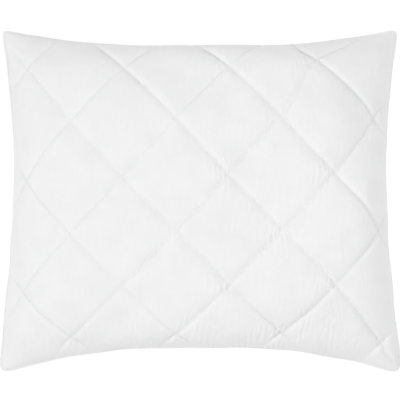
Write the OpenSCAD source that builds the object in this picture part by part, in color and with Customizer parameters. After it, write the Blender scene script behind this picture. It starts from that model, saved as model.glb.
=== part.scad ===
// Quilted bed pillow, 60 x 70 cm, lying flat with its filling settled.
// Both panels of the cover are three layers quilted together. Every layer is its own solid on one
// shared grid of flat-fabric coordinates (s, t), in millimetres from the middle of the cut panel.
// The grid's lines pass through the quilting's crossings, so each stitched line runs along its edges.

/* [Cover] */
// Sewn width of the flat cover, along X
flat_w = 700; // [600:10:800]
// Sewn length of the flat cover, along Y
flat_l = 600; // [500:10:700]
// How much narrower the filled cover is from corner to corner, along X
draw_in_w = 15; // [0:1:25]
// How much shorter the filled cover is from corner to corner, along Y
draw_in_l = 3; // [0:1:20]
// Inward bow of the two side edges
bow_side = 26; // [5:1:40]
// Inward bow of the edge at -Y
bow_front = 48; // [10:1:60]
// Inward bow of the edge at +Y
bow_back = 35; // [10:1:60]
// How far the tips of the corners at -Y are rounded back
round_front = 9.5; // [0:0.5:12]
// How far the tips of the corners at +Y are rounded back
round_back = 6.5; // [0:0.5:12]

/* [Loft] */
// Height of the seam above the bed at the middle of an edge
seam_z = 76; // [65:1:100]
// How much lower the seam is at a corner
corner_drop = 18; // [0:1:30]
// Rise of the front panel above its rim
front_rise = 100; // [70:1:140]
// How far the back panel would hang below its rim with no bed under it
back_hang = 96; // [85:1:110]
// Exponent of the crown: a higher one is flatter in the middle
crown_flat = 3.4; // [2:0.1:4]
// Exponent of the shoulder: a lower one is fuller at the rim
shoulder_full = 0.56; // [0.5:0.01:1]

/* [Quilting] */
// Width of a quilted diamond along X
diamond_w = 176; // [150:1:240]
// Length of a quilted diamond along Y
diamond_l = 193; // [150:1:240]
// Place of one crossing of the stitching along X
crossing_s = 48; // [-120:1:120]
// Place of the same crossing along Y
crossing_t = 33; // [-120:1:120]
// How far the pattern is turned: its rise along Y on the way from the middle to the +X edge
turn_t = 7; // [-15:1:15]
// How far the crossing one diamond further along X and Y is pulled askew along X
askew_s = -26; // [-30:1:30]
// How far the same crossing is pulled askew along Y
askew_t = 13; // [-15:1:15]
// Depth of the quilted groove
groove = 7; // [3:0.5:12]

/* [Layers] */
// Thickness of the outer fabric
shell_t = 0.5; // [0.3:0.1:0.8]
// Thickness of the wadding where the stitching presses it flat
wadding_min = 0.5; // [0.3:0.1:1]
// Thickness of the lining
lining_t = 0.3; // [0.2:0.1:0.5]
// Air between neighbouring layers
air = 0.06; // [0.04:0.01:0.1]
// Radius of the sewing thread
thread_r = 0.3; // [0.2:0.05:0.3]
// Width of the flat rim along the edge seam
rim_w = 6; // [4:0.5:8]

/* [Hidden] */

FRONT = 1;                      // the panel that faces up
BACK = -1;                      // the panel that lies on the bed
HALF_CELLS = 3;                 // grid cells along half a diamond
CELLS = 2 * HALF_CELLS;         // grid cells from one stitched line to the next
LEAST_END = 2;                  // narrowest cell beside a rim
BOW_SIDE_POWER = 1.8;           // shape of the side edges' bow: a higher one is flatter in the middle
BOW_FRONT_POWER = 2.6;          // the same for the edge at -Y
BOW_BACK_POWER = 2.8;           // the same for the edge at +Y
BOW_SIDE_SHIFT = 0.12;          // how far the side edges' bow is deepest towards +Y, 1 at the corner
PLUMP_S = 0.12;                 // how much the fabric is seen side-on near the side edges
PLUMP_T = 0.14;                 // the same near the other two edges
PLUMP_POWER = 6;                // how near the edge that begins
FADE_POWER = 8;                 // how near the edge a shift along the fabric dies out
ASKEW_R = 75;                   // how far around its crossing the pull askew is felt
ROUND_POWER = 28;               // how near its tip a corner begins to round
RELIEF_W = 45;                  // distance from the rim at which the quilting has its full depth
PRESS = 3;                      // how much of each diamond of the back is pressed flat by the bed
NOSE = 0.2;                     // how far the filling's edge stops inside the rim, in cells
TOPSTITCH_IN = 0.6;             // place of the topstitch across the rim, 0 at the outer edge
EDGE_SEAM_IN = 0.5;             // place of the edge seam across the rim
TUBE_SIDES = 4;

half_w = flat_w / 2;
half_l = flat_l / 2;
cell_s = diamond_w / CELLS;
cell_t = diamond_l / CELLS;
stack_t = shell_t + wadding_min + lining_t + 2 * air;
thread_room = 2 * thread_r + air;
rim_h = stack_t + 3 * air + thread_room;
edge_h = shell_t + air;

// ---- The shared grid ----

// Index of the first and last grid line inside a panel's rims, counted from the crossing.
function first_line(half, cell, crossing) = ceil((LEAST_END + rim_w - half - crossing) / cell);
function last_line(half, cell, crossing) = floor((half - rim_w - LEAST_END - crossing) / cell);

// The edge, the rim line, the lines through the crossings, the other rim line and the other edge.
function grid_lines(half, cell, crossing) =
    let (first = first_line(half, cell, crossing), last = last_line(half, cell, crossing))
    concat([-half, rim_w - half], [for (k = [first:last]) crossing + k * cell], [half - rim_w, half]);

s_lines = grid_lines(half_w, cell_s, crossing_s);
t_lines = grid_lines(half_l, cell_t, crossing_t);
s_last = len(s_lines) - 1;
t_last = len(t_lines) - 1;

// What to add to a line's number in s_lines or t_lines to count it from the crossing.
s_shift = first_line(half_w, cell_s, crossing_s) - 2;
t_shift = first_line(half_l, cell_t, crossing_t) - 2;

// True where a cell's own diagonal runs from its low corner to its high one.
function rising(i, j) = (i + j + 1 + s_shift + t_shift) % CELLS != 0;

// ---- The filled shape ----

function clamp01(a) = min(1, max(0, a));
function mix(a, b, part) = (1 - part) * a + part * b;
function unit(v) = v / norm(v);

// 0 on a line of stitching, 1 in the middle of a diamond.
function off_stitch(s, t) =
    let (a = (s - crossing_s) / diamond_w + (t - crossing_t) / diamond_l,
         b = (s - crossing_s) / diamond_w - (t - crossing_t) / diamond_l)
    2 * min(abs(a - round(a)), abs(b - round(b)));

// How far a point lies below the tops of the diamonds: the groove, which runs out at the rims.
function relief(s, t) =
    groove * clamp01((half_w - rim_w - abs(s)) / RELIEF_W) * clamp01((half_l - rim_w - abs(t)) / RELIEF_W);
function dip(s, t) = relief(s, t) * pow(1 - off_stitch(s, t), 2);

// How an edge bows inward between its corners, 0 at a corner and 1 where it is deepest.
function bow(a, power, shift = 0) = 1 - pow(abs(a - shift * (1 - a * a)), power);

// Share of the pull askew at a place along the fabric.
function askew(s, t) =
    exp(-(pow(s - crossing_s - diamond_w, 2) + pow(t - crossing_t - diamond_l, 2)) / pow(ASKEW_R, 2));

// Where the fabric lies once the pattern is turned and pulled askew, from -1 to 1 across the panel.
function shifted(s, t) =
    let (u = s / half_w, v = t / half_l, pull = askew(s, t))
    [u + askew_s / half_w * pull * (1 - pow(u, FADE_POWER)),
     v + turn_t / half_l * u * (1 - v * v) + askew_t / half_l * pull * (1 - pow(v, FADE_POWER))];

// Where such a place shows from above, from -1 to 1 across the pillow.
function spread(a, plump) = a * (1 + plump * (1 - pow(abs(a), PLUMP_POWER)));

function plan(s, t) =
    let (place = shifted(s, t),
         u = place.x,
         v = place.y,
         tip = (v < 0 ? round_front : round_back) * pow(abs(u * v), ROUND_POWER),
         bow_y = v < 0 ? bow_front * bow(u, BOW_FRONT_POWER) : bow_back * bow(u, BOW_BACK_POWER),
         reach_x = (flat_w - draw_in_w) / 2 - bow_side * bow(v, BOW_SIDE_POWER, BOW_SIDE_SHIFT) - tip,
         reach_y = (flat_l - draw_in_l) / 2 - bow_y - tip)
    [spread(u, PLUMP_S * (1 - v * v)) * reach_x, spread(v, PLUMP_T * (1 - u * u)) * reach_y];

function crown(a) = pow(1 - pow(clamp01(a), crown_flat), shoulder_full);
function seam_height(s, t) = seam_z - corner_drop * pow(s / half_w * t / half_l, 2);

function face_point(side, s, t) =
    let (at_edge = abs(s) == half_w || abs(t) == half_l,
         full = crown(abs(s) / (half_w - rim_w)) * crown(abs(t) / (half_l - rim_w)),
         rise = at_edge ? edge_h : rim_h + (side == FRONT ? front_rise : back_hang) * full,
         seam = seam_height(s, t),
         z = side == FRONT ? seam + rise - dip(s, t) : max(-PRESS, seam - rise) + dip(s, t))
    concat(plan(s, t), z);

function face_grid(side) = [for (t = t_lines) [for (s = s_lines) face_point(side, s, t)]];

// Directions out of a panel at the points of its outer face.
function out_grid(side, face) =
    [for (j = [0:t_last]) [for (i = [0:s_last])
        let (along_s = face[j][min(i + 1, s_last)] - face[j][max(i - 1, 0)],
             along_t = face[min(j + 1, t_last)][i] - face[max(j - 1, 0)][i],
             at_edge = i == 0 || j == 0 || i == s_last || j == t_last)
        side * (at_edge ? [0, 0, 1] : unit(cross(along_s, along_t)))]];

front_face = face_grid(FRONT);
back_face = face_grid(BACK);
front_out = out_grid(FRONT, front_face);
back_out = out_grid(BACK, back_face);

// Loft of the wadding at a grid point beyond its pressed thickness.
function loft(i, j) = relief(s_lines[i], t_lines[j]) - dip(s_lines[i], t_lines[j]);

// A point of a panel, sunk in from its outer face by depth and by share of the wadding's loft.
// The bed holds up everything inside the back panel's outer face.
function sunk(side, i, j, depth, share = 0) =
    let (face = side == FRONT ? front_face[j][i] : back_face[j][i],
         out = side == FRONT ? front_out[j][i] : back_out[j][i],
         in = depth + share * loft(i, j),
         p = face - in * out)
    side == BACK && depth > 0 ? [p.x, p.y, max(p.z, in)] : p;

function sunk_grid(side, depth, share = 0) =
    [for (j = [0:t_last]) [for (i = [0:s_last]) sunk(side, i, j, depth, share)]];

// ---- Solids from grids ----

// The triangles of a grid of n by m points that starts skip lines in from the edge.
function skin(n, m, skip, base, up) =
    [for (j = [0:m - 2], i = [0:n - 2])
        let (a = base + j * n + i, b = a + 1, c = a + n + 1, d = a + n)
        each rising(i + skip, j + skip)
            ? (up ? [[c, b, a], [d, c, a]] : [[a, b, c], [a, c, d]])
            : (up ? [[d, b, a], [d, c, b]] : [[a, b, d], [b, c, d]])];

// The wall between the outlines of two such grids, the second one base points on.
function wall(n, m, base) =
    let (outline = concat([for (i = [0:n - 2]) i],
                          [for (j = [0:m - 2]) j * n + n - 1],
                          [for (i = [n - 1:-1:1]) (m - 1) * n + i],
                          [for (j = [m - 1:-1:1]) j * n]))
    [for (k = [0:len(outline) - 1])
        let (a = outline[k], b = outline[(k + 1) % len(outline)])
        each [[a, b, b + base], [a, b + base, a + base]]];

module between(upper, lower, skip) {
    n = s_last + 1 - 2 * skip;
    m = t_last + 1 - 2 * skip;
    points = [for (grid = [upper, lower], j = [skip:t_last - skip], i = [skip:s_last - skip]) grid[j][i]];
    polyhedron(points, concat(skin(n, m, skip, 0, true), skin(n, m, skip, n * m, false), wall(n, m, n * m)));
}

// A panel's layer between two depths, each with its share of the wadding's loft.
module layer(side, outer, inner, skip, outer_share = 0, inner_share = 0) {
    outer_grid = sunk_grid(side, outer, outer_share);
    inner_grid = sunk_grid(side, inner, inner_share);
    if (side == FRONT)
        between(outer_grid, inner_grid, skip);
    else
        between(inner_grid, outer_grid, skip);
}

// ---- Thread ----

// A tube of thread along points, with the direction out of the fabric at each.
module thread(points, outs, closed = false) {
    n = len(points);
    rings = [for (k = [0:n - 1])
        let (before = points[closed ? (k + n - 1) % n : max(k - 1, 0)],
             after = points[closed ? (k + 1) % n : min(k + 1, n - 1)],
             across = unit(cross(after - before, outs[k])),
             up = unit(cross(across, after - before)))
        for (q = [0:TUBE_SIDES - 1])
            let (turn = (q + 0.5) * 360 / TUBE_SIDES)
            points[k] + thread_r * (cos(turn) * across + sin(turn) * up)];
    sides = [for (k = [0:n - (closed ? 1 : 2)], q = [0:TUBE_SIDES - 1])
        let (a = k * TUBE_SIDES + q,
             b = k * TUBE_SIDES + (q + 1) % TUBE_SIDES,
             next = k == n - 1 ? -k * TUBE_SIDES : TUBE_SIDES)
        each [[a, b, b + next], [a, b + next, a + next]]];
    caps = closed ? [] : [[for (q = [TUBE_SIDES - 1:-1:0]) q],
                          [for (q = [0:TUBE_SIDES - 1]) (n - 1) * TUBE_SIDES + q]];
    polyhedron(rings, concat(sides, caps));
}

// Grid points inside the rims on one stitched line: slant 1 rises along X, slant -1 falls.
function line_points(slant, k) =
    [for (i = [2:s_last - 2])
        let (j = slant * (i - k))
        if (j >= 2 && j <= t_last - 2) [i, j]];

// The numbers of a slant's lines: each is where the line would cross j = 0.
function line_numbers(slant) =
    [for (k = [2 - t_last:s_last + t_last])
        if ((k + s_shift - slant * t_shift) % CELLS == 0 && len(line_points(slant, k)) > 0) k];

function is_crossing(i, j) =
    (i - j + s_shift - t_shift) % CELLS == 0 && (i + j + s_shift + t_shift) % CELLS == 0;

// Where a line that leaves grid point i, j along di, dj meets the next grid line.
function line_end(grid, i, j, di, dj) =
    let (part_s = abs(s_lines[i + di] - s_lines[i]) / cell_s,
         part_t = abs(t_lines[j + dj] - t_lines[j]) / cell_t,
         corner = grid[j + dj][i + di])
    part_s <= part_t ? mix(grid[j][i + di], corner, part_s / part_t)
                     : mix(grid[j + dj][i], corner, part_t / part_s);

// A panel's quilting thread at a depth. The second slant passes over the first at the crossings.
module quilting(side, depth, over) {
    outs = side == FRONT ? front_out : back_out;
    low = sunk_grid(side, depth);
    high = sunk_grid(side, depth + over);
    for (slant = [1, -1])
        for (k = line_numbers(slant)) {
            line = line_points(slant, k);
            first = line[0];
            last = line[len(line) - 1];
            middle = [for (p = line) (slant < 0 && is_crossing(p.x, p.y) ? high : low)[p.y][p.x]];
            thread(concat([line_end(low, first.x, first.y, -1, -slant)], middle,
                          [line_end(low, last.x, last.y, 1, slant)]),
                   concat([outs[first.y][first.x]], [for (p = line) outs[p.y][p.x]],
                          [outs[last.y][last.x]]));
        }
}

// The point of a grid's surface at part-way line numbers i and j.
function on_grid(grid, i, j) =
    let (low_i = floor(i), low_j = floor(j), p = i - low_i, q = j - low_j,
         a = grid[low_j][low_i], b = grid[low_j][low_i + 1],
         c = grid[low_j + 1][low_i + 1], d = grid[low_j + 1][low_i])
    rising(low_i, low_j)
        ? (p > q ? a + p * (b - a) + q * (c - b) : a + q * (d - a) + p * (c - d))
        : (p + q < 1 ? a + p * (b - a) + q * (d - a) : c + (1 - p) * (d - c) + (1 - q) * (b - c));

// A closed run of thread along a grid's rim, part of the way from the edge to the rim line.
// It turns each corner on the corner's diagonal.
module rim_run(grid, side, part) {
    turn = (1 + part) / 2;
    stations = concat([[turn, turn]], [for (i = [1:s_last - 1]) [i, part]],
                      [[s_last - turn, turn]], [for (j = [1:t_last - 1]) [s_last - part, j]],
                      [[s_last - turn, t_last - turn]], [for (i = [s_last - 1:-1:1]) [i, t_last - part]],
                      [[turn, t_last - turn]], [for (j = [t_last - 1:-1:1]) [part, j]]);
    thread([for (p = stations) on_grid(grid, p.x, p.y)], [for (p = stations) [0, 0, side]], true);
}

// ---- The pieces ----

module front_shell() {
    color("white") layer(FRONT, 0, shell_t, 0);
}

module front_wadding() {
    color("ivory") layer(FRONT, shell_t + air, shell_t + air + wadding_min, 1, 0, 1);
}

module front_lining() {
    color("whitesmoke") layer(FRONT, stack_t - lining_t, stack_t, 1, 1, 1);
}

module front_quilting_needle_thread() {
    color("gainsboro") quilting(FRONT, -thread_r - air, -thread_room);
}

module front_quilting_bobbin_thread() {
    color("lightgrey") quilting(FRONT, stack_t + air + thread_r, thread_room);
}

module back_shell() {
    color("white")
        intersection() {
            layer(BACK, 0, shell_t, 0);
            translate([-flat_w, -flat_l, 0]) cube([2 * flat_w, 2 * flat_l, 2 * seam_z]);
        }
}

module back_wadding() {
    color("ivory") layer(BACK, shell_t + air, shell_t + air + wadding_min, 1, 0, 1);
}

module back_lining() {
    color("whitesmoke") layer(BACK, stack_t - lining_t, stack_t, 1, 1, 1);
}

module back_quilting_needle_thread() {
    color("gainsboro") quilting(BACK, -thread_r - air, -thread_room);
}

module back_quilting_bobbin_thread() {
    color("lightgrey") quilting(BACK, stack_t + air + thread_r, thread_room);
}

// Joins the two panels, in the fold between them.
module edge_seam_thread() {
    middle = [for (j = [0:t_last]) [for (i = [0:s_last])
        (sunk(FRONT, i, j, edge_h) + sunk(BACK, i, j, edge_h)) / 2]];
    color("silver") rim_run(middle, FRONT, EDGE_SEAM_IN);
}

module topstitch_needle_thread() {
    color("gainsboro") rim_run(sunk_grid(FRONT, -thread_room), FRONT, TOPSTITCH_IN);
}

module topstitch_bobbin_thread() {
    color("lightgrey") rim_run(sunk_grid(BACK, -thread_room), BACK, TOPSTITCH_IN);
}

// One side of the filling. Its outermost points draw together in a nose just inside the rim.
function filling_grid(side) =
    let (depth = stack_t + 2 * air + 2 * thread_room)
    [for (j = [0:t_last]) [for (i = [0:s_last])
        let (near_i = min(s_last - 2, max(2, i)),
             near_j = min(t_last - 2, max(2, j)),
             rim = (sunk(FRONT, i, j, stack_t) + sunk(BACK, i, j, stack_t)) / 2,
             near = (sunk(FRONT, near_i, near_j, depth) + sunk(BACK, near_i, near_j, depth)) / 2)
        near_i == i && near_j == j ? sunk(side, i, j, depth, 1)
                                   : mix(rim, near, NOSE) + [0, 0, side * air]]];

module fibre_filling() {
    color("snow") between(filling_grid(FRONT), filling_grid(BACK), 1);
}

front_shell();
front_wadding();
front_lining();
front_quilting_needle_thread();
front_quilting_bobbin_thread();
back_shell();
back_wadding();
back_lining();
back_quilting_needle_thread();
back_quilting_bobbin_thread();
edge_seam_thread();
topstitch_needle_thread();
topstitch_bobbin_thread();
fibre_filling();
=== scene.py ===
"""Quilted bed pillow, 60 x 70 cm: settled cloth panels, their inner layers, stitching and studio.

Each panel of the cover is a grid in flat-fabric coordinates (s across, t along, in millimetres from
the middle of the cut panel), laid over the filled shape and settled by a small cloth solver. The
layers under it are worked out from the settled cloth. Shape code is in millimetres, meshes in metres.
"""

import math

import bpy
import numpy as np
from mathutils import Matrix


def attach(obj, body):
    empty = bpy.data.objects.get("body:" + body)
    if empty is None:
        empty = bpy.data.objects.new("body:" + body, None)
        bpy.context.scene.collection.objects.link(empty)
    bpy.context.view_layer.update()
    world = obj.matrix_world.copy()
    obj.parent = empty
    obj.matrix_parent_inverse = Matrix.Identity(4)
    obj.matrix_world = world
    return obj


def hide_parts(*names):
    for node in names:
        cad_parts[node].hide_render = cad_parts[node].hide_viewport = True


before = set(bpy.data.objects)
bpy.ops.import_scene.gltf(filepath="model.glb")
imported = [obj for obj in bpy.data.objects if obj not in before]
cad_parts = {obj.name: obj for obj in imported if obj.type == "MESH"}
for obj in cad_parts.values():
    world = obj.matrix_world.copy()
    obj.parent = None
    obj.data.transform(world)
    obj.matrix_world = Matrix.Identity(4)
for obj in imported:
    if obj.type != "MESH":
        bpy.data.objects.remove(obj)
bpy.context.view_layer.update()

MM = 0.001
FRONT, BACK = 1, -1
BODY = "root"

# ---- Cover, as in the CAD ----
FLAT_W, FLAT_L = 700.0, 600.0
HALF_W, HALF_L = FLAT_W / 2, FLAT_L / 2
DRAW_IN_W, DRAW_IN_L = 15.0, 3.0
BOW_SIDE, BOW_FRONT, BOW_BACK = 26.0, 48.0, 35.0
BOW_SIDE_POWER, BOW_FRONT_POWER, BOW_BACK_POWER = 1.8, 2.6, 2.8
BOW_SIDE_SHIFT = 0.12
ROUND_FRONT, ROUND_BACK, ROUND_POWER = 9.5, 6.5, 28
SEAM_Z, CORNER_DROP = 76.0, 18.0
FRONT_RISE, BACK_HANG = 100.0, 96.0
CROWN_FLAT, SHOULDER_FULL = 3.4, 0.56
PLUMP_S, PLUMP_T, PLUMP_POWER = 0.12, 0.14, 6
PRESS = 3.0

# ---- Quilting, as in the CAD ----
DIAMOND_W, DIAMOND_L = 176.0, 193.0
CROSSING_S, CROSSING_T = 48.0, 33.0
TURN_T = 7.0
ASKEW_S, ASKEW_T, ASKEW_R = -26.0, 13.0, 75.0
FADE_POWER = 8
GROOVE = 7.0

# ---- Cloth ----
CELLS_S, CELLS_T = 120, 60      # grid cells across a diamond; every stitch hole is a grid point
RIM_W = 3.6                     # place of the topstitch, in from the edge
LIP_STEPS = (0.0, 1.2, 2.4, RIM_W, 5.0, 7.0)
LIP_EDGE, LIP_FULL = 0.4, 1.6   # half thickness of the sewn lip at the edge and at the topstitch
ALLOWANCE = 10.0                # seam allowance turned in at the edge
CLIP, CLIP_FROM, CLIP_OVER = 0.7, 0.7, 0.2  # share of it clipped away at a corner, and from where
ALLOWANCE_LIFT = 0.55           # half the space between the two panels' allowances, for the seam's thread
PUFF, PUFF_POWER = 2.6, 0.75    # rise of a diamond's middle over its stitching, and how full it is
RELIEF_W = 30.0                 # distance over which the quilting's relief runs out at the rim
EDGE_WAVE_XY, EDGE_WAVE_Z = 0.5, 1.4    # unevenness of the sewn edge
EDGE_WAVE_REACH = 40.0                  # and how far in it is felt

# Extra depth at the stitching and how uneven it is: first the lines that rise to the right, then those
# that fall. It is felt over the first distance on a line's right and over the second on its left.
PINCHES = ((4.8, 0.20), (6.0, 0.10))
PINCH_W = (3.4, 7.2)
PINCH_MEAN, PINCH_TREND = 0.8, 0.1      # share of that depth at the middle, and its change for each line

# ---- Cloth solver ----
SETTLE_STEPS = 500
LUMPS_BROAD, LUMPS_FINE = 2.4, 0.9      # unevenness of the filling
LUMPS_REACH = 70.0
STRETCH, SHEAR = 0.9, 0.25              # share of an error that a step takes away
BEND_S, BEND_T = 0.12, 0.02
SPARE_S, SPARE_T = 0.004, 0.004         # spare fabric along s and along t
SPARE_PATCHES = 0.012                   # and more along s in patches, mostly on the right
START_WAVE = 0.2                        # small waves that the spare fabric buckles from
HOLD_OUT = (0.4, 0.004)                 # pull back to the stitched shape along its normal and in its
HOLD_IN = (0.3, 0.006)                  # surface: at a stitch hole, and elsewhere on the wadding
GATHER = 0.05                           # gathered fabric beside a crossing
GATHER_FRONT, GATHER_BACK = 0.028, 0.02     # and along the two bowed edges
CRUMPLE, CRUMPLE_FRONT = 0.10, 0.28     # height of the crumples, on the right and along the front edge

# ---- Inner layers and thread ----
UNDER_CLOTH = 0.5               # space between the cloth and the wadding
WADDING_MIN = 0.4               # least thickness of the wadding, at the stitching
LINING_GAP = 0.25               # space between the wadding and the lining
LINING_DEPTH = 1.0              # of the lining at the rim; it is a groove's depth more elsewhere
LAYER_LEVEL = {"wadding_top": 0.5, "wadding_base": 1.0, "lining": 1.3}   # least heights over the bed
FILLING_GAP, TUFTS = 0.8, 4.0   # space between the lining and the filling, and depth of its dents
COARSE_S, COARSE_T = 4, 2       # inner layers keep every so many of the cloth's grid lines
THREAD_R = 0.25
STITCH_ARCH, STITCH_DIP = 1.2, 0.3      # rise of a stitch's middle and dip of its ends, in thread radii
QUILT_RISE, TOP_RISE = 0.35, 0.1        # extra height of its middle, in mm, to clear the curve of the cloth
TOP_PITCH, SEAM_PITCH = 3.4, 3.0
SEAM_LOWER = 0.2                # keeps the seam's thread midway between the allowances


def clamp01(a):
    return np.clip(a, 0.0, 1.0)


def fade_in(a, start, length):
    """0 up to a start, then growing to 1 over a length."""
    return clamp01((a - start) / length)


def unit(v):
    return v / np.linalg.norm(v, axis=-1, keepdims=True)


# ---- The grid ----

def grid_lines(half, cell, crossing):
    """Coordinates of the grid's lines, fine at the rims and through the crossings between them,
    and the number of the first line, counted from the crossing."""
    inner = half - LIP_STEPS[-1] - 0.6 * cell
    first = math.ceil((-inner - crossing) / cell)
    last = math.floor((inner - crossing) / cell)
    rim = np.array(LIP_STEPS)
    middle = crossing + cell * np.arange(first, last + 1)
    return np.concatenate([rim - half, middle, (half - rim)[::-1]]), first - len(rim)


RIM_STEPS = len(LIP_STEPS)
S_LINES, S_FIRST = grid_lines(HALF_W, DIAMOND_W / CELLS_S, CROSSING_S)
T_LINES, T_FIRST = grid_lines(HALF_L, DIAMOND_L / CELLS_T, CROSSING_T)
S, T = np.meshgrid(S_LINES, T_LINES)
RIM_DISTANCE = np.minimum(HALF_W - np.abs(S), HALF_L - np.abs(T))
RELIEF = fade_in(RIM_DISTANCE, RIM_W, RELIEF_W)


def quilted_depth(rng):
    """Depth of the cloth below the tops of the diamonds: a broad puff, pinched in at the stitching
    by thread that is tighter in some places than in others, and more on the right."""
    across = [(S - CROSSING_S) / DIAMOND_W + slant * (T - CROSSING_T) / DIAMOND_L for slant in (-1, 1)]
    puff = np.prod([np.abs(np.sin(math.pi * a)) for a in across], axis=0) ** PUFF_POWER
    apart = DIAMOND_W * DIAMOND_L / math.hypot(DIAMOND_W, DIAMOND_L)
    pinch = np.zeros(S.shape)
    for a, (depth, uneven) in zip(across, PINCHES):
        tight = np.clip(PINCH_MEAN + PINCH_TREND * a + uneven * noise(rng, 170, 170), 0.2, 1.2)
        off = apart * (a - np.round(a))
        pinch += (depth * tight * np.exp(-np.abs(off) / np.where(off > 0, *PINCH_W))) ** 4
    return (PUFF * (1 - puff) + pinch ** (1 / 4)) * RELIEF


def stitch_holes():
    """True at the grid points where the quilting's needle goes through, once for each slant."""
    i, j = np.meshgrid(np.arange(len(S_LINES)) + S_FIRST, np.arange(len(T_LINES)) + T_FIRST)
    inside = RIM_DISTANCE > LIP_STEPS[-1]
    whole = CELLS_S * CELLS_T
    return [inside & ((i * CELLS_T + slant * j * CELLS_S) % whole == 0) for slant in (1, -1)]


def noise(rng, size_s, size_t, waves=60):
    """Smooth noise of about unit size on the grid, made of random waves."""
    field = np.zeros(S.shape)
    for _ in range(waves):
        angle, phase = rng.uniform(0, 2 * math.pi, 2)
        turn = 2 * math.pi * rng.uniform(0.6, 1.4)
        field += np.sin(turn * (S * math.cos(angle) / size_s + T * math.sin(angle) / size_t) + phase)
    return field * math.sqrt(2 / waves)


# ---- The filled shape ----

def crown(a):
    return (1 - clamp01(a) ** CROWN_FLAT) ** SHOULDER_FULL


def bow(a, power, shift=0.0):
    return 1 - np.abs(a - shift * (1 - a * a)) ** power


def shifted(s, t):
    """Where the fabric lies once the pattern is turned and pulled askew, from -1 to 1."""
    u, v = s / HALF_W, t / HALF_L
    away = (s - CROSSING_S - DIAMOND_W) ** 2 + (t - CROSSING_T - DIAMOND_L) ** 2
    pull = np.exp(-away / ASKEW_R**2)
    return (u + ASKEW_S / HALF_W * pull * (1 - u**FADE_POWER),
            v + TURN_T / HALF_L * u * (1 - v * v) + ASKEW_T / HALF_L * pull * (1 - v**FADE_POWER))


def spread(a, plump):
    return a * (1 + plump * (1 - np.abs(a) ** PLUMP_POWER))


def plan(s, t):
    """Where places on the flat fabric show from above."""
    u, v = shifted(s, t)
    tip = np.where(v < 0, ROUND_FRONT, ROUND_BACK) * np.abs(u * v) ** ROUND_POWER
    bow_y = np.where(v < 0, BOW_FRONT * bow(u, BOW_FRONT_POWER), BOW_BACK * bow(u, BOW_BACK_POWER))
    reach_x = (FLAT_W - DRAW_IN_W) / 2 - BOW_SIDE * bow(v, BOW_SIDE_POWER, BOW_SIDE_SHIFT) - tip
    reach_y = (FLAT_L - DRAW_IN_L) / 2 - bow_y - tip
    return spread(u, PLUMP_S * (1 - v * v)) * reach_x, spread(v, PLUMP_T * (1 - u * u)) * reach_y


def seam_height(s, t):
    return SEAM_Z - CORNER_DROP * (s / HALF_W * t / HALF_L) ** 2


def uneven_edge():
    """Small waves of the sewn edge, which die out over the shoulder: shifts of x, y and z."""
    rng = np.random.default_rng(11)
    waves = [EDGE_WAVE_XY * noise(rng, 110, 90) for _ in range(2)] + [EDGE_WAVE_Z * noise(rng, 150, 130)]
    return np.stack(waves, axis=-1) * np.exp(-RIM_DISTANCE / EDGE_WAVE_REACH)[..., None]


EDGE_WAVES = uneven_edge()


def envelope(side, s, t):
    """The surface through the tops of a panel's diamonds."""
    x, y = plan(s, t)
    inside = np.minimum(HALF_W - np.abs(s), HALF_L - np.abs(t))
    full = crown(np.abs(s) / (HALF_W - RIM_W)) * crown(np.abs(t) / (HALF_L - RIM_W))
    lip = LIP_EDGE + (LIP_FULL - LIP_EDGE) * np.sqrt(clamp01(inside / RIM_W))
    z = seam_height(s, t) + side * (lip + (FRONT_RISE if side == FRONT else BACK_HANG) * full)
    return np.stack([x, y, z], axis=-1)


def outward(points, side):
    """Unit normals of a grid, out of the pillow."""
    return unit(side * np.cross(np.gradient(points, axis=1), np.gradient(points, axis=0)))


def on_bed(points, height=0.0):
    points[..., 2] = np.maximum(points[..., 2], height)
    return points


# ---- The cloth solver ----

def crossings():
    """Flat-fabric places of the stitching's crossings on and just off a panel."""
    reach = range(-8, 9)
    places = [(CROSSING_S + m * DIAMOND_W / 2, CROSSING_T + n * DIAMOND_L / 2)
              for m in reach for n in reach if (m + n) % 2 == 0]
    return [(s, t) for s, t in places if abs(s) < HALF_W + 30 and abs(t) < HALF_L + 30]


def spare_fabric(rng):
    """Share of spare fabric along s: gathered beside the crossings, and along the two bowed edges."""
    spare = SPARE_S + SPARE_PATCHES * fade_in(S, -120, 200) * clamp01(0.5 + 0.7 * noise(rng, 80, 120))
    for s, t in crossings():
        strength = rng.uniform(0.4, 1.2) * (0.3 + 0.7 * fade_in(s, -150, 200))
        aside, wide, tall = rng.uniform(10, 26), rng.uniform(10, 20), rng.uniform(16, 40)
        spare += GATHER * strength * np.exp(-((S - s + aside) / wide) ** 2 - ((T - t) / tall) ** 2)
    middle = fade_in(-np.abs(S), -300, 120)
    spare += GATHER_FRONT * fade_in(-T, 180, 70) * middle
    spare += GATHER_BACK * fade_in(T, 235, 50) * middle
    return spare * clamp01(0.8 + 0.5 * noise(rng, 70, 90))


def crumples(rng):
    """Fine crumples of the settled cloth, in mm: beside the crossings, fainter in the gathered parts."""
    amount = CRUMPLE * fade_in(S, -150, 250)
    amount += CRUMPLE_FRONT * fade_in(-T, 190, 70) * fade_in(-np.abs(S), -320, 80)
    for s, t in crossings():
        strength = rng.uniform(0.3, 0.75) * (0.35 + 0.65 * fade_in(s, -150, 200))
        aside, tall = rng.uniform(4, 10), rng.uniform(16, 28)
        amount += strength * np.exp(-((S - s + aside) / 15) ** 2 - ((T - t) / tall) ** 2)
    return amount * noise(rng, 8, 26) * clamp01(0.6 + 0.5 * noise(rng, 45, 60)) * RELIEF


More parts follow.
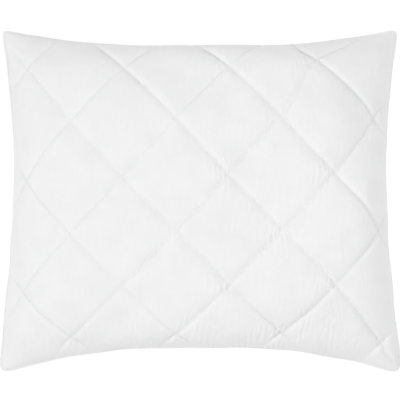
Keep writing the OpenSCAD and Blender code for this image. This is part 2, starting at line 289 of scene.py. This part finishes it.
def project(x, rest, axis, start):
    """Moves every second pair of neighbours along an axis back towards its rest distance."""
    low, high = [slice(None)] * 2, [slice(None)] * 2
    low[axis] = slice(start, x.shape[axis] - 1, 2)
    high[axis] = slice(start + 1, x.shape[axis], 2)
    low, high = tuple(low), tuple(high)
    d = x[high] - x[low]
    length = np.sqrt(np.einsum("ijk,ijk->ij", d, d))
    d *= (STRETCH / 2 * (length - rest[low]) / length)[..., None]
    x[low] += d
    x[high] -= d


def shear(x, rest, slant):
    """The same along the cells' diagonals, all at once."""
    if slant > 0:
        low, high = np.s_[:-1, :-1], np.s_[1:, 1:]
    else:
        low, high = np.s_[:-1, 1:], np.s_[1:, :-1]
    d = x[high] - x[low]
    length = np.sqrt(np.einsum("ijk,ijk->ij", d, d))
    d *= (SHEAR / 4 * (length - rest) / length)[..., None]
    x[low] += d
    x[high] -= d


def bend(offset, stiff_s, stiff_t):
    """Bending stiffness, as the fourth difference of the offset from the smooth shape."""
    for view, stiff in ((offset.swapaxes(0, 1), stiff_s.T), (offset, stiff_t)):
        curve = np.zeros_like(view)
        curve[1:-1] = (view[2:] + view[:-2] - 2 * view[1:-1]) / 4
        view[1:-1] -= stiff[1:-1, :, None] * (curve[2:] + curve[:-2] - 2 * curve[1:-1]) / 4


def settle(side, seed):
    """A panel's cloth over its wadding and filling: its points, and the smooth shape under them."""
    rng = np.random.default_rng(seed)
    base = envelope(side, S, T) + EDGE_WAVES
    lumps = LUMPS_BROAD * noise(rng, 260, 230) + LUMPS_FINE * noise(rng, 110, 100)
    base += outward(base, side) * (lumps * fade_in(RIM_DISTANCE, RIM_W, LUMPS_REACH))[..., None]
    on_bed(base, -PRESS)
    out = outward(base, side)
    goal = base - out * quilted_depth(rng)[..., None]
    spare = spare_fabric(rng)
    spare_s = (spare[:, 1:] + spare[:, :-1]) / 2
    rest_s = np.linalg.norm(np.diff(goal, axis=1), axis=-1) * (1 + spare_s)
    rest_t = np.linalg.norm(np.diff(goal, axis=0), axis=-1) * (1 + SPARE_T)
    rest_up = np.linalg.norm(goal[1:, 1:] - goal[:-1, :-1], axis=-1) * (1 + spare_s[:-1] / 3)
    rest_down = np.linalg.norm(goal[1:, :-1] - goal[:-1, 1:], axis=-1) * (1 + spare_s[:-1] / 3)
    sewn = np.logical_or(*stitch_holes())
    x = goal + out * (START_WAVE * noise(rng, 11, 80, waves=90) * RELIEF)[..., None]
    hold_out, hold_in = (np.where(sewn, *hold)[..., None] for hold in (HOLD_OUT, HOLD_IN))
    supple = np.clip(np.exp(0.8 * noise(rng, 50, 70)), 0.25, 4.0)
    for _ in range(SETTLE_STEPS):
        for rest, axis in ((rest_s, 1), (rest_t, 0)):
            for start in (0, 1):
                project(x, rest, axis, start)
        shear(x, rest_up, 1)
        shear(x, rest_down, -1)
        offset = x - goal
        bend(offset, BEND_S * supple, BEND_T * supple)
        away = np.einsum("ijk,ijk->ij", offset, out)[..., None] * out
        offset -= hold_out * away + hold_in * (offset - away)
        x = on_bed(goal + offset)
        for edge in (np.s_[0], np.s_[-1], np.s_[:, 0], np.s_[:, -1]):
            x[edge] = goal[edge]
    x += out * crumples(rng)[..., None]
    return on_bed(x), base


# ---- Meshes ----

def link(name, points, faces, uvs, material):
    """A new object from points in mm; uvs, in metres, are one for each point."""
    mesh = bpy.data.meshes.new(name)
    mesh.from_pydata((points * MM).tolist(), [], faces.tolist())
    mesh.polygons.foreach_set("use_smooth", [True] * len(mesh.polygons))
    corners = np.empty(len(mesh.loops), dtype=np.int32)
    mesh.loops.foreach_get("vertex_index", corners)
    layer = mesh.uv_layers.new(name="fabric")
    layer.data.foreach_set("uv", uvs[corners].ravel())
    mesh.materials.append(material)
    obj = bpy.data.objects.new(name, mesh)
    bpy.context.collection.objects.link(obj)
    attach(obj, BODY)
    return obj


def grid_faces(rows, columns, up):
    index = np.arange(rows * columns).reshape(rows, columns)
    a, b, c, d = index[:-1, :-1], index[:-1, 1:], index[1:, 1:], index[1:, :-1]
    return np.stack([q.ravel() for q in ((a, b, c, d) if up else (a, d, c, b))], axis=-1)


def rim_indices(rows, columns):
    """Indices round a grid's outline, anticlockwise from its first corner."""
    index = np.arange(rows * columns).reshape(rows, columns)
    return np.concatenate([index[0, :-1], index[:-1, -1], index[-1, :0:-1], index[:0:-1, 0]])


def cover(name, side, points, material):
    """A panel's cloth, with its seam allowance turned in between the panels and clipped at the corners."""
    rows, columns = S.shape
    rim = rim_indices(rows, columns)
    count = rows * columns
    s_rim, t_rim = S.ravel()[rim], T.ravel()[rim]
    turned, places = [], []
    width = 1 - CLIP * fade_in(np.abs(s_rim * t_rim) / (HALF_W * HALF_L), CLIP_FROM, CLIP_OVER)
    for share in (0.35, 1.0):
        s = s_rim * (1 - share * width * ALLOWANCE / HALF_W)
        t = t_rim * (1 - share * width * ALLOWANCE / HALF_L)
        x, y = plan(s, t)
        z = seam_height(s_rim, t_rim) + side * ALLOWANCE_LIFT
        turned.append(np.stack([x, y, z], axis=-1) + EDGE_WAVES.reshape(-1, 3)[rim])
        places.append(np.stack([s_rim * (1 + share * ALLOWANCE / HALF_W),
                                t_rim * (1 + share * ALLOWANCE / HALF_L)], axis=-1))
    all_points = np.concatenate([points.reshape(-1, 3)] + turned)
    faces = [grid_faces(rows, columns, side == FRONT)]
    rings = [rim, count + np.arange(len(rim)), count + len(rim) + np.arange(len(rim))]
    for outer, inner in zip(rings, rings[1:]):
        a, b, c, d = outer, np.roll(outer, -1), np.roll(inner, -1), inner
        faces.append(np.stack((b, a, d, c) if side == FRONT else (a, b, c, d), axis=-1))
    uvs = np.concatenate([np.stack([S.ravel(), T.ravel()], axis=-1)] + places) * MM
    return link(name, all_points, np.concatenate(faces), uvs, material)


def coarse_lines(count, first, step):
    """Numbers of the grid lines that the inner layers keep, from rim to rim."""
    middle = [k for k in range(RIM_STEPS, count - RIM_STEPS) if (k + first) % step == 0]
    return np.array([RIM_STEPS - 1] + middle + [count - RIM_STEPS])


KEEP = np.ix_(coarse_lines(len(T_LINES), T_FIRST, COARSE_T),
              coarse_lines(len(S_LINES), S_FIRST, COARSE_S))
KEPT_PLACES = np.stack([S[KEEP].ravel(), T[KEEP].ravel()], axis=-1) * MM


def lowest_nearby(field, reach_s, reach_t):
    """Least value of a grid field within so many cells."""
    for axis, reach in ((1, reach_s), (0, reach_t)):
        field = np.minimum.reduce([np.roll(field, k, axis) for k in range(-reach, reach + 1)])
    return field


def layer_grids(side, cloth, base):
    """Full-size grids of a panel's inner surfaces, from the cloth in to the filling, and the normals."""
    out = outward(base, side)
    lift = np.einsum("ijk,ijk->ij", cloth - base, out)
    top = lowest_nearby(lift, 3, 1) - UNDER_CLOTH
    lining = np.minimum(-LINING_DEPTH - GROOVE * RELIEF, top - WADDING_MIN - LINING_GAP)
    grids = {}
    for key, depth in zip(LAYER_LEVEL, (top, lining + LINING_GAP, lining)):
        grids[key] = base + out * depth[..., None]
        if side == BACK:
            on_bed(grids[key], LAYER_LEVEL[key])
    return grids, out


def closed_form(name, upper, lower, material):
    """A closed piece between two grids of the same size."""
    rows, columns = upper.shape[:2]
    count = rows * columns
    rim = rim_indices(rows, columns)
    wall = np.stack([rim, rim + count, np.roll(rim, -1) + count, np.roll(rim, -1)], axis=-1)
    faces = [grid_faces(rows, columns, True), grid_faces(rows, columns, False) + count, wall]
    points = np.concatenate([upper.reshape(-1, 3), lower.reshape(-1, 3)])
    return link(name, points, np.concatenate(faces), np.tile(KEPT_PLACES, (2, 1)), material)


STITCH_SIDES = 6
STITCH_RINGS = ((0.0, 0.5), (0.12, 0.95), (0.5, 1.1), (0.88, 0.95), (1.0, 0.5))  # place, thickness


def stitches(name, starts, ends, outs, rise, material):
    """Short runs of thread from hole to hole: each dips into the fabric at its ends."""
    along = ends - starts
    across = unit(np.cross(along, outs))
    up = unit(np.cross(across, along))
    turn = np.arange(STITCH_SIDES) * 2 * math.pi / STITCH_SIDES
    rings, uvs = [], []
    for share, fat in STITCH_RINGS:
        arch = 4 * share * (1 - share)
        height = THREAD_R * (STITCH_ARCH * arch - STITCH_DIP) + rise * arch
        centre = starts + share * along + up * height
        ring = [centre + THREAD_R * fat * (math.cos(a) * across + math.sin(a) * up) for a in turn]
        rings.append(np.stack(ring, axis=1))
        place = share * np.linalg.norm(along, axis=-1)
        uvs.append(np.stack([np.stack([place, np.full(len(place), a * THREAD_R)], axis=-1) * MM
                             for a in turn], axis=1))
    points = np.stack(rings, axis=1).reshape(-1, 3)
    uvs = np.stack(uvs, axis=1).reshape(-1, 2)
    sides, ring_count = STITCH_SIDES, len(STITCH_RINGS)
    one = []
    for ring in range(ring_count - 1):
        for k in range(sides):
            a, b = ring * sides + k, ring * sides + (k + 1) % sides
            one.append((a, b, b + sides, a + sides))
    last = (ring_count - 1) * sides
    for first, order in ((0, (0, 5, 4, 3)), (0, (0, 3, 2, 1)), (last, (0, 1, 2, 3)), (last, (0, 3, 4, 5))):
        one.append(tuple(first + k for k in order))
    step = ring_count * sides
    faces = (np.array(one)[None] + step * np.arange(len(starts))[:, None, None]).reshape(-1, 4)
    return link(name, points, faces, uvs, material)


def quilting(name, grid, out, material):
    """All of a panel's quilting stitches on a full-size grid, each from one hole to the next."""
    runs = []
    for slant, holes in zip((1, -1), stitch_holes()):
        j, i = np.nonzero(holes)
        next_i, next_j = i + CELLS_S // CELLS_T, j - slant
        ok = (next_i < S.shape[1]) & (next_j >= 0) & (next_j < S.shape[0])
        ok[ok] = holes[next_j[ok], next_i[ok]]
        runs.append((grid[j[ok], i[ok]], grid[next_j[ok], next_i[ok]], out[j[ok], i[ok]]))
    starts, ends, outs = (np.concatenate(part) for part in zip(*runs))
    return stitches(name, starts, ends, outs, QUILT_RISE, material)


def rim_stitches(name, points, outs, pitch, rise, material):
    """Stitches along a closed run of points."""
    gaps = np.linalg.norm(np.roll(points, -1, axis=0) - points, axis=-1)
    where = np.concatenate([[0], np.cumsum(gaps)])
    at = np.linspace(0, where[-1], round(where[-1] / pitch) + 1)
    holes, away = (np.stack([np.interp(at, where, np.append(v, v[0])) for v in run.T], axis=-1)
                   for run in (points, outs))
    return stitches(name, holes[:-1], holes[1:], unit(away[:-1]), rise, material)


def inset_rim(line):
    """Indices round the outline of a grid cut down by so many lines on each side."""
    return rim_indices(S.shape[0] - 2 * line, S.shape[1] - 2 * line)


# ---- Materials ----

def new_material(name, roughness, sheen=0.0):
    material = bpy.data.materials.new(name)
    material.use_nodes = True
    shader = material.node_tree.nodes["Principled BSDF"]
    shader.inputs["Roughness"].default_value = roughness
    shader.inputs["Sheen Weight"].default_value = sheen
    shader.inputs["Sheen Roughness"].default_value = 0.45
    shader.inputs["Specular IOR Level"].default_value = 0.25
    return material, material.node_tree, shader


def math_node(tree, operation, a, b=0.0, c=0.0):
    node = tree.nodes.new("ShaderNodeMath")
    node.operation = operation
    for socket, value in zip(node.inputs, (a, b, c)):
        if isinstance(value, (int, float)):
            socket.default_value = value
        else:
            tree.links.new(value, socket)
    return node.outputs[0]


def fabric_place(tree):
    """The two coordinates along the flat fabric, in metres."""
    uv = tree.nodes.new("ShaderNodeUVMap")
    uv.uv_map = "fabric"
    split = tree.nodes.new("ShaderNodeSeparateXYZ")
    tree.links.new(uv.outputs["UV"], split.inputs[0])
    return uv.outputs["UV"], split.outputs["X"], split.outputs["Y"]


def noise_node(tree, place, scale, detail=3.0, stretch=(1, 1, 1)):
    mapping = tree.nodes.new("ShaderNodeMapping")
    mapping.inputs["Scale"].default_value = stretch
    tree.links.new(place, mapping.inputs["Vector"])
    node = tree.nodes.new("ShaderNodeTexNoise")
    node.inputs["Scale"].default_value = scale
    node.inputs["Detail"].default_value = detail
    tree.links.new(mapping.outputs[0], node.inputs["Vector"])
    return node.outputs["Fac"]


def ramp_node(tree, value, dark, light, low=0.3, high=0.7):
    ramp = tree.nodes.new("ShaderNodeValToRGB")
    ramp.color_ramp.elements[0].position = low
    ramp.color_ramp.elements[1].position = high
    ramp.color_ramp.elements[0].color = (*dark, 1)
    ramp.color_ramp.elements[1].color = (*light, 1)
    tree.links.new(value, ramp.inputs[0])
    return ramp.outputs[0]


def bumps(tree, shader, layers):
    """Bump from heights in metres: each layer is (height 0 to 1, strength, distance)."""
    normal = None
    for height, strength, distance in layers:
        node = tree.nodes.new("ShaderNodeBump")
        node.inputs["Strength"].default_value = strength
        node.inputs["Distance"].default_value = distance
        tree.links.new(height, node.inputs["Height"])
        if normal is not None:
            tree.links.new(normal, node.inputs["Normal"])
        normal = node.outputs["Normal"]
    tree.links.new(normal, shader.inputs["Normal"])


def woven(tree, along, across, pitch):
    """A plain weave: threads over and under at the given pitch, 0 to 1."""
    turn = 2 * math.pi / pitch
    a = math_node(tree, "SINE", math_node(tree, "MULTIPLY", along, turn))
    b = math_node(tree, "SINE", math_node(tree, "MULTIPLY", across, turn))
    return math_node(tree, "MULTIPLY_ADD", math_node(tree, "MULTIPLY", a, b), 0.5, 0.5)


def blend_node(tree, a, b, share):
    """A share of one value and the rest of another."""
    return math_node(tree, "ADD", math_node(tree, "MULTIPLY", a, share),
                     math_node(tree, "MULTIPLY", b, 1 - share))


def cover_material():
    """Brushed microfibre: fine plain weave, faint slubs and a soft bloom."""
    material, tree, shader = new_material("cover_fabric", 0.78, sheen=0.15)
    place, along, across = fabric_place(tree)
    weave = woven(tree, along, across, 0.0007)
    cloudy = noise_node(tree, place, 22, 4)
    slubs = noise_node(tree, place, 260, 3, (1, 0.12, 1))
    crumple = noise_node(tree, place, 75, 5, (1, 0.6, 1))
    colour = ramp_node(tree, blend_node(tree, cloudy, slubs, 0.7), (0.84, 0.84, 0.845), (0.885,) * 3)
    tree.links.new(colour, shader.inputs["Base Color"])
    bumps(tree, shader, [(crumple, 0.35, 0.0012), (slubs, 0.2, 0.0002), (weave, 0.3, 0.00008)])
    return material


def web_material(name, dark, light, scale, distance):
    """Crimped fibres in a loose web."""
    material, tree, shader = new_material(name, 0.95, sheen=0.3)
    place = tree.nodes.new("ShaderNodeTexCoord").outputs["Object"]
    fibres = noise_node(tree, place, scale, 6, (1, 0.15, 0.6))
    tufts = noise_node(tree, place, scale / 8, 5)
    colour = ramp_node(tree, blend_node(tree, fibres, tufts, 0.5), dark, light)
    tree.links.new(colour, shader.inputs["Base Color"])
    bumps(tree, shader, [(tufts, 0.6, distance * 4), (fibres, 0.7, distance)])
    return material


def lining_material():
    """Thin non-woven web with a pattern of small bonded dots."""
    material, tree, shader = new_material("lining", 0.85)
    place, _, _ = fabric_place(tree)
    dots = tree.nodes.new("ShaderNodeTexVoronoi")
    dots.inputs["Scale"].default_value = 480
    dots.inputs["Randomness"].default_value = 0.05
    tree.links.new(place, dots.inputs["Vector"])
    cloudy = noise_node(tree, place, 60, 5)
    tree.links.new(ramp_node(tree, cloudy, (0.8,) * 3, (0.9,) * 3), shader.inputs["Base Color"])
    bumps(tree, shader, [(dots.outputs["Distance"], 0.5, 0.0003), (cloudy, 0.3, 0.0004)])
    return material


def thread_material():
    """Spun thread: its plies wind round it."""
    material, tree, shader = new_material("sewing_thread", 0.6, sheen=0.2)
    place, along, around = fabric_place(tree)
    lay = math_node(tree, "ADD", math_node(tree, "MULTIPLY", along, 9000.0),
                    math_node(tree, "MULTIPLY", around, 8000.0))
    plies = math_node(tree, "MULTIPLY_ADD", math_node(tree, "SINE", lay), 0.5, 0.5)
    fuzz = noise_node(tree, place, 900, 2)
    tree.links.new(ramp_node(tree, fuzz, (0.84,) * 3, (0.9,) * 3), shader.inputs["Base Color"])
    bumps(tree, shader, [(plies, 0.5, 0.0001)])
    return material


# ---- Camera: nearly straight above, a little towards the front ----

TILT = math.radians(5)
CAMERA_AWAY = 3.25
AIM = (0.0, -0.0008, 0.075)
LENS, SENSOR = 172.1, 36


def make_camera():
    data = bpy.data.cameras.new("camera")
    data.lens = LENS
    data.sensor_width = SENSOR
    camera = bpy.data.objects.new("camera", data)
    bpy.context.collection.objects.link(camera)
    back, up = CAMERA_AWAY * math.sin(TILT), CAMERA_AWAY * math.cos(TILT)
    camera.location = (AIM[0], AIM[1] - back, AIM[2] + up)
    camera.rotation_euler = (TILT, 0, 0)
    bpy.context.scene.camera = camera


# ---- Studio ----

FLOOR_Z, FLOOR_HALF = -0.0005, 6
FLOOR_GREY, FLOOR_GLOW = 0.25, 0.78     # mostly its own light, so that it stays plain and pale
SKY = 0.6
LIT = (0, 0, 0.08)                      # what the lights are turned to


def area_light(name, location, size, power):
    data = bpy.data.lights.new(name, "AREA")
    data.shape = "SQUARE"
    data.size = size
    data.energy = power
    light = bpy.data.objects.new(name, data)
    bpy.context.collection.objects.link(light)
    light.location = location
    direction = np.subtract(LIT, location)
    yaw = math.atan2(direction[1], direction[0])
    pitch = math.atan2(math.hypot(direction[0], direction[1]), -direction[2])
    light.rotation_euler = (pitch, 0, yaw - math.pi / 2)


def make_studio():
    scene = bpy.context.scene
    scene.view_settings.view_transform = "Standard"
    world = bpy.data.worlds.new("studio")
    scene.world = world
    world.use_nodes = True
    background = world.node_tree.nodes["Background"]
    background.inputs["Color"].default_value = (1, 1, 1, 1)
    background.inputs["Strength"].default_value = SKY
    area_light("key", (-5.0, -0.8, 4.6), size=2.0, power=112)
    area_light("overhead", (0.9, 0.0, 2.7), size=2.2, power=24.5)
    mesh = bpy.data.meshes.new("floor")
    corners = [(x * FLOOR_HALF, y * FLOOR_HALF, FLOOR_Z) for x, y in ((-1, -1), (1, -1), (1, 1), (-1, 1))]
    mesh.from_pydata(corners, [], [(0, 1, 2, 3)])
    floor = bpy.data.objects.new("floor", mesh)
    bpy.context.collection.objects.link(floor)
    material, _, shader = new_material("floor", 0.9)
    shader.inputs["Base Color"].default_value = (FLOOR_GREY, FLOOR_GREY, FLOOR_GREY, 1)
    shader.inputs["Emission Color"].default_value = (1, 1, 1, 1)
    shader.inputs["Emission Strength"].default_value = FLOOR_GLOW
    mesh.materials.append(material)


# ---- The pillow ----

def quilted_panel(side, word, seed):
    """One side's cloth, wadding, lining and quilting threads. Returns the cloth and the lining, each as
    its points and its normals, for the pieces that lie on them."""
    cloth, base = settle(side, seed)
    out = outward(cloth, side)
    grids, inner_out = layer_grids(side, cloth, base)

    panel = cover(f"{word}_cover", side, cloth, CLOTH_LOOK)
    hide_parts(f"{word}_shell")

    layers = (grids["wadding_top"][KEEP], grids["wadding_base"][KEEP])[::side]
    wadding = closed_form(f"{word}_wadding_web", *layers, WADDING_LOOK)
    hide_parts(f"{word}_wadding")

    inside = grids["lining"][KEEP]
    faces = grid_faces(*inside.shape[:2], side == FRONT)
    lining = link(f"{word}_lining_web", inside.reshape(-1, 3), faces, KEPT_PLACES, LINING_LOOK)
    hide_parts(f"{word}_lining")

    needle = quilting(f"{word}_quilting_stitches", cloth, out, THREAD_LOOK)
    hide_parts(f"{word}_quilting_needle_thread")

    under = grids["lining"] - inner_out * 2 * THREAD_R
    bobbin = quilting(f"{word}_quilting_under_stitches", under, -inner_out, THREAD_LOOK)
    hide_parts(f"{word}_quilting_bobbin_thread")
    return (cloth, out), (inside, inner_out[KEEP])


def topstitching(name, node, cloth, out):
    """The stitching round one face of the sewn lip."""
    line = LIP_STEPS.index(RIM_W)
    ring = inset_rim(line)
    points, outs = (grid[line:-line, line:-line].reshape(-1, 3)[ring] for grid in (cloth, out))
    top = rim_stitches(name, points, outs, TOP_PITCH, TOP_RISE, THREAD_LOOK)
    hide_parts(node)


def edge_seam(front, back):
    """The seam that joins the panels, midway between their cloths and one grid line in."""
    ring = inset_rim(1)
    middle = (front + back)[1:-1, 1:-1].reshape(-1, 3)[ring] / 2 - (0.0, 0.0, SEAM_LOWER)
    outs = np.tile((0.0, 0.0, 1.0), (len(ring), 1))
    seam = rim_stitches("edge_seam", middle, outs, SEAM_PITCH, 0.0, THREAD_LOOK)
    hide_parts("edge_seam_thread")


def loose_filling(linings):
    """The filling, just inside both linings and dented between its tufts."""
    rng = np.random.default_rng(21)
    dents = clamp01(0.5 + 0.3 * noise(rng, 60, 60)) * TUFTS * RELIEF
    faces = [inside - away * (FILLING_GAP + dents[KEEP])[..., None] for inside, away in linings]
    filling = closed_form("loose_filling", *faces, FILLING_LOOK)
    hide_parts("fibre_filling")


make_camera()
make_studio()

CLOTH_LOOK = cover_material()
WADDING_LOOK = web_material("wadding", (0.84, 0.84, 0.82), (0.92, 0.92, 0.91), 700, 0.0006)
LINING_LOOK = lining_material()
THREAD_LOOK = thread_material()
FILLING_LOOK = web_material("filling", (0.85, 0.85, 0.84), (0.93, 0.93, 0.92), 400, 0.0015)

front, front_inside = quilted_panel(FRONT, "front", seed=3)
topstitching("topstitching", "topstitch_needle_thread", *front)
back, back_inside = quilted_panel(BACK, "back", seed=8)
topstitching("topstitching_under", "topstitch_bobbin_thread", *back)
edge_seam(front[0], back[0])
loose_filling((front_inside, back_inside))
